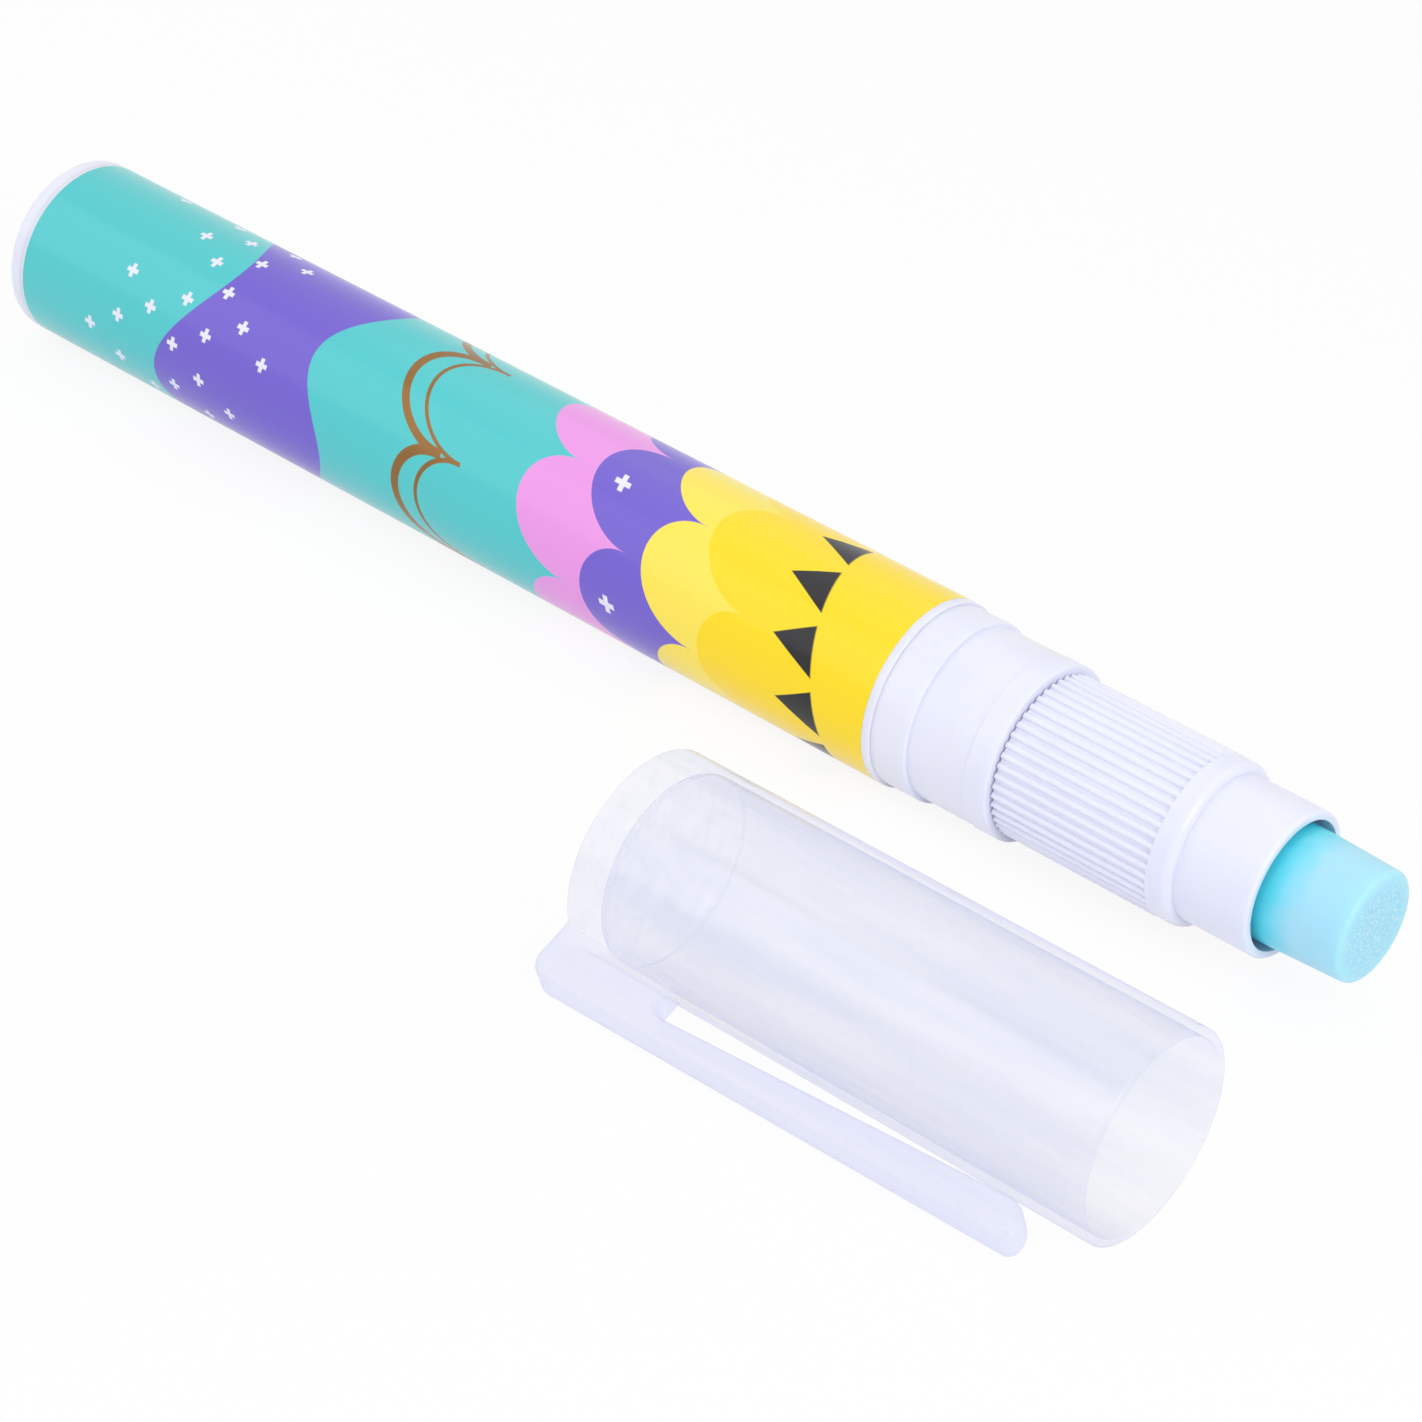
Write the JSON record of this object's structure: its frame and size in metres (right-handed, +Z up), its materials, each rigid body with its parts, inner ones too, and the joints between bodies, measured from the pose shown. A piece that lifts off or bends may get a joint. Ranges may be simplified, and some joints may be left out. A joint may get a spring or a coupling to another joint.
{
  "type": "glue stick",
  "caption": "Pen-type twist-up glue stick with printed barrel, ribbed twist grip and extended glue, and its clear clip cap lying beside it.",
  "frame": {"origin": "on the table, under the middle of the whole object with its cap beside it", "axes": "+X along the pen from the tail to the nozzle, +Z up, the cap lies on the -Y side of the pen"},
  "size_m": [0.1488, 0.0606, 0.0163],
  "materials": {
    "white_plastic": "white moulded plastic, satin gloss",
    "label_print": "gloss printed film",
    "clear_plastic": "clear moulded plastic",
    "inner_plastic": "natural moulded plastic",
    "soft_ring": "pale soft rubber",
    "glue": "waxy, translucent"
  },
  "bodies": {
    "barrel": {"barrel_tube": "white_plastic", "label_film": "label_print", "tail_plug": "white_plastic", "front_collar": "white_plastic", "friction_ring": "soft_ring", "rod_guide": "inner_plastic"},
    "grip": {"twist_grip": "white_plastic", "glue_tube": "inner_plastic", "drive_nut": "inner_plastic"},
    "feed": {"push_rod": "inner_plastic", "glue_carrier": "inner_plastic", "glue_stick": "glue"},
    "cap": {"cap": "clear_plastic"}
  },
  "joints": [
    {"name": "grip_twist", "type": "hinge", "parent": "barrel", "child": "grip", "pos_m": [0.03558, 0.02227, 0.008], "axis": [1, 0, 0], "range_deg": [-810, 3600]},
    {"name": "glue_feed", "type": "slide", "parent": "barrel", "child": "feed", "axis": [1, 0, 0], "range_m": [-0.009, 0.04]},
    {"name": "cap_pull", "type": "slide", "parent": "barrel", "child": "cap", "axis": [-0.9998, -0.0188, 0], "range_m": [0, 0.03115]}
  ],
  "couplings": [
    {"joint": "glue_feed", "follows": "grip_twist", "m_per_rad": 0.00063662}
  ]
}
